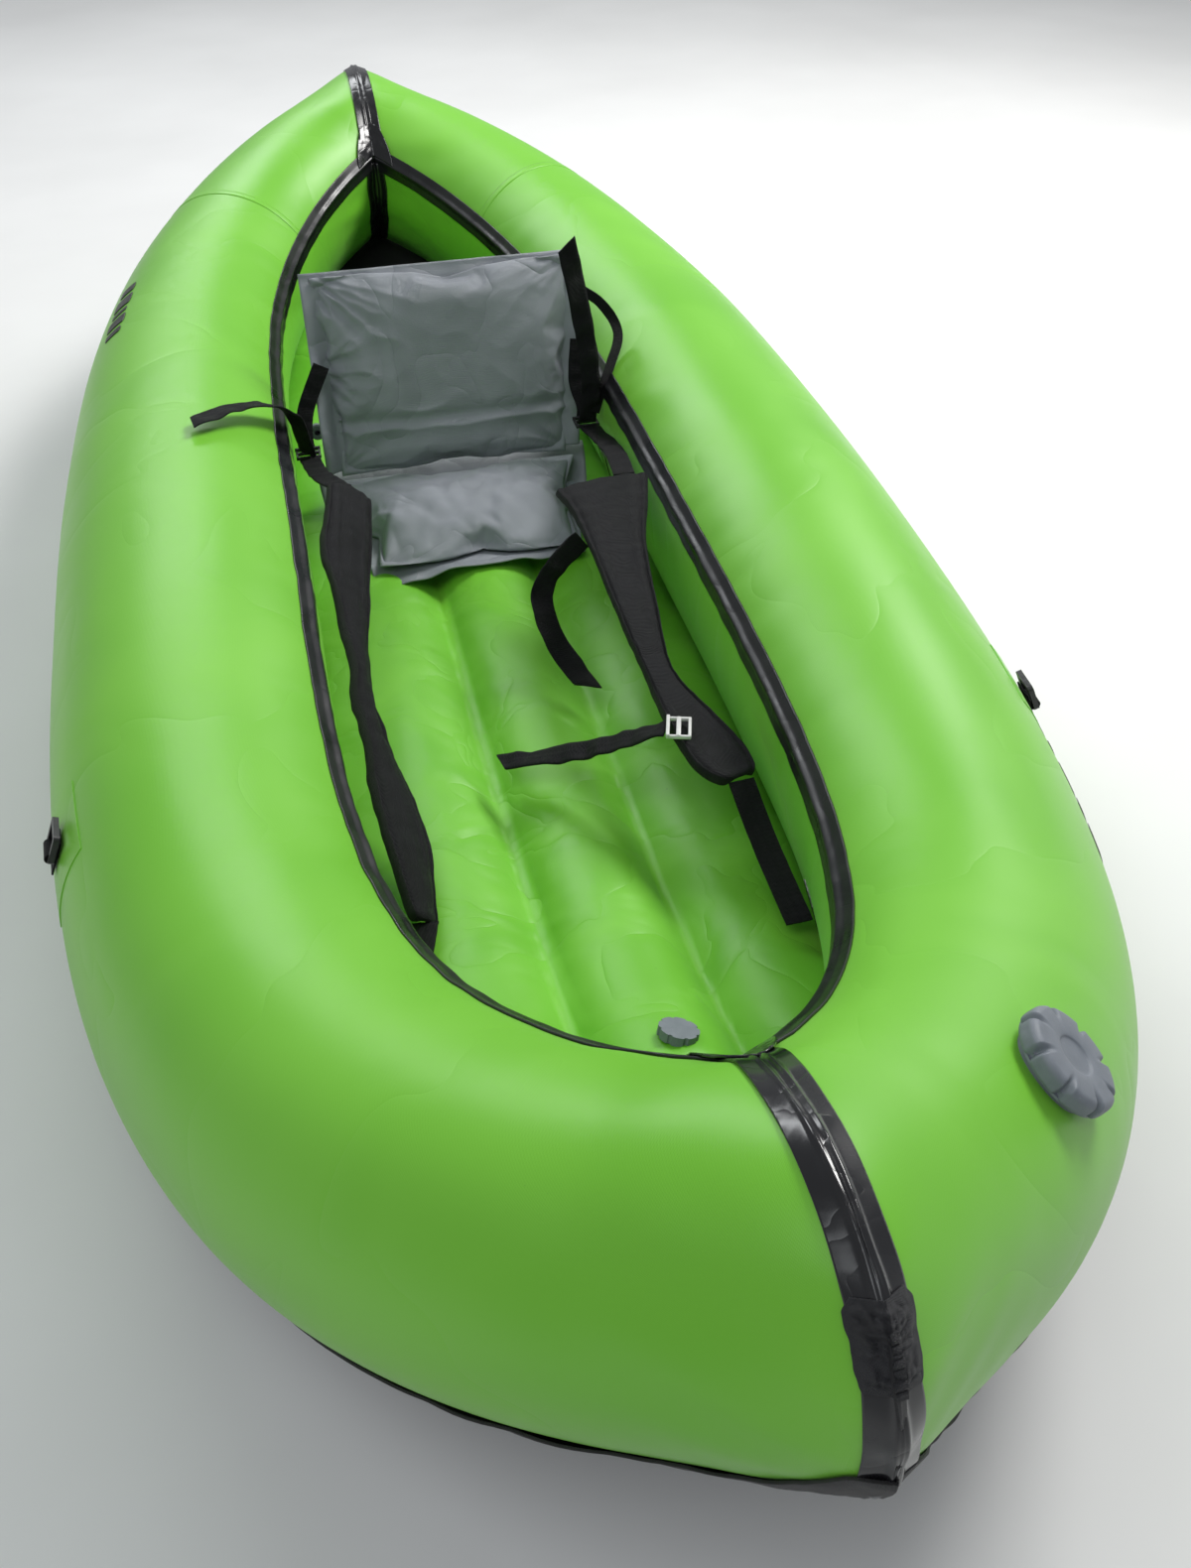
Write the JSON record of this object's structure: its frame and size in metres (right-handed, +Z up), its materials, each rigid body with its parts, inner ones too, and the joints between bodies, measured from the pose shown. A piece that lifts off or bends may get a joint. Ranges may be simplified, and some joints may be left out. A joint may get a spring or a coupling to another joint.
{
  "type": "inflatable kayak",
  "caption": "Single-seat inflatable kayak: two side tubes meeting at bow and stern, ribbed inflatable floor, grey seat with folding backrest, thigh braces and screw valves.",
  "frame": {"origin": "on the ground under the middle of the hull", "axes": "+Y towards the stern, -Y towards the bow, +X towards port, +Z up"},
  "size_m": [0.9641, 2.4726, 0.4767],
  "materials": {
    "hull_fabric": "satin coated fabric",
    "seam_tape": "gloss",
    "abrasion_fabric": "matt",
    "floor_fabric": "satin coated fabric",
    "seat_fabric": "satin coated fabric",
    "brace_fabric": "matt",
    "webbing": "matt woven",
    "black_plastic": "satin",
    "light_plastic": "satin",
    "grey_plastic": "matt",
    "spring_steel": "brushed"
  },
  "bodies": {
    "root": {"bottom_sheet": "abrasion_fabric", "bow_inner_tape": "seam_tape", "bow_seam_tape": "seam_tape", "floor_valve_body": "grey_plastic", "inflatable_floor": "floor_fabric", "main_valve_body": "grey_plastic", "main_valve_spring": "spring_steel", "port_chine_wrap": "abrasion_fabric", "port_coaming_tape": "seam_tape", "port_front_anchor_patch": "seam_tape", "port_inner_panel": "hull_fabric", "port_outer_panel": "hull_fabric", "port_rear_anchor_patch": "seam_tape", "port_rear_strap": "webbing", "port_tie_down_keeper": "webbing", "port_tie_down_patch": "seam_tape", "seat_base": "seat_fabric", "seat_valve": "grey_plastic", "starboard_chine_wrap": "abrasion_fabric", "starboard_coaming_tape": "seam_tape", "starboard_front_anchor_patch": "seam_tape", "starboard_inner_panel": "hull_fabric", "starboard_outer_panel": "hull_fabric", "starboard_rear_anchor_patch": "seam_tape", "starboard_rear_strap": "webbing", "starboard_tail": "webbing", "starboard_tie_down_keeper": "webbing", "starboard_tie_down_patch": "seam_tape", "stern_inner_tape": "seam_tape", "stern_seam_tape": "seam_tape"},
    "backrest": {"backrest": "seat_fabric", "backrest_valve": "grey_plastic", "port_back_buckle": "black_plastic", "starboard_back_buckle": "black_plastic", "port_back_strap": "webbing", "starboard_back_strap": "webbing", "port_back_tail": "webbing"},
    "backrest_valve_cap": {"backrest_valve_cap": "grey_plastic"},
    "seat_valve_cap": {"seat_valve_cap": "grey_plastic"},
    "floor_valve_cap": {"floor_valve_cap": "grey_plastic"},
    "main_valve_cap": {"main_valve_cap": "grey_plastic"},
    "main_valve_plunger": {"main_valve_plunger": "grey_plastic"},
    "port_brace": {"port_thigh_brace": "brace_fabric", "port_front_strap": "webbing", "port_front_tail": "webbing", "port_under_tail": "webbing"},
    "starboard_brace": {"starboard_thigh_brace": "brace_fabric", "starboard_front_strap": "webbing"},
    "front_buckle": {"front_buckle": "light_plastic"},
    "port_tie_down_ring": {"port_tie_down_ring": "black_plastic"},
    "starboard_tie_down_ring": {"starboard_tie_down_ring": "black_plastic"}
  },
  "joints": [
    {"name": "backrest_fold", "type": "hinge", "parent": "root", "child": "backrest", "pos_m": [0, 0.2623, 0.16144], "axis": [1, 0, 0], "range_deg": [0, 75], "deforming": ["port_rear_strap", "starboard_rear_strap", "starboard_tail"]},
    {"name": "port_brace_swing", "type": "hinge", "parent": "root", "child": "port_brace", "pos_m": [0.17372, -0.64945, 0.13693], "axis": [0.995, 0, 0.0995], "range_deg": [0, 12]},
    {"name": "starboard_brace_swing", "type": "hinge", "parent": "root", "child": "starboard_brace", "pos_m": [-0.17372, -0.64945, 0.13693], "axis": [0.995, 0, -0.0995], "range_deg": [0, 12]},
    {"name": "front_buckle_tilt", "type": "hinge", "parent": "port_brace", "child": "front_buckle", "pos_m": [0.12858, -0.44287, 0.206], "axis": [0.2873, 0.9578, 0], "range_deg": [0, 35]},
    {"name": "main_valve_cap_turn", "type": "hinge", "parent": "root", "child": "main_valve_cap", "pos_m": [0.18412, -1.02185, 0.38098], "axis": [0.6055, -0.1497, 0.7816], "range_deg": [0, 90]},
    {"name": "main_valve_plunger_slide", "type": "slide", "parent": "root", "child": "main_valve_plunger", "axis": [-0.6055, 0.1497, -0.7816], "range_m": [0, 0.005], "stiffness_N_per_m": 300, "deforming": ["main_valve_spring"]},
    {"name": "floor_valve_cap_turn", "type": "hinge", "parent": "root", "child": "floor_valve_cap", "pos_m": [0.028, -0.765, 0.15422], "axis": [0.266, 0.2793, 0.9226], "range_deg": [0, 90]},
    {"name": "seat_valve_cap_turn", "type": "hinge", "parent": "root", "child": "seat_valve_cap", "pos_m": [0.1555, 0.205, 0.10114], "axis": [0, 0, 1], "range_deg": [0, 180]},
    {"name": "backrest_valve_cap_turn", "type": "hinge", "parent": "backrest", "child": "backrest_valve_cap", "pos_m": [-0.164, 0.27275, 0.20006], "axis": [0, 0.9703, -0.2419], "range_deg": [0, 180]},
    {"name": "port_tie_down_pivot", "type": "hinge", "parent": "root", "child": "port_tie_down_ring", "pos_m": [0.45606, -0.49101, 0.21791], "axis": [0.0839, 0.9955, -0.0436], "range_deg": [0, 150]},
    {"name": "starboard_tie_down_pivot", "type": "hinge", "parent": "root", "child": "starboard_tie_down_ring", "pos_m": [-0.45606, -0.49101, 0.21791], "axis": [0.0839, -0.9955, 0.0436], "range_deg": [0, 150]}
  ]
}
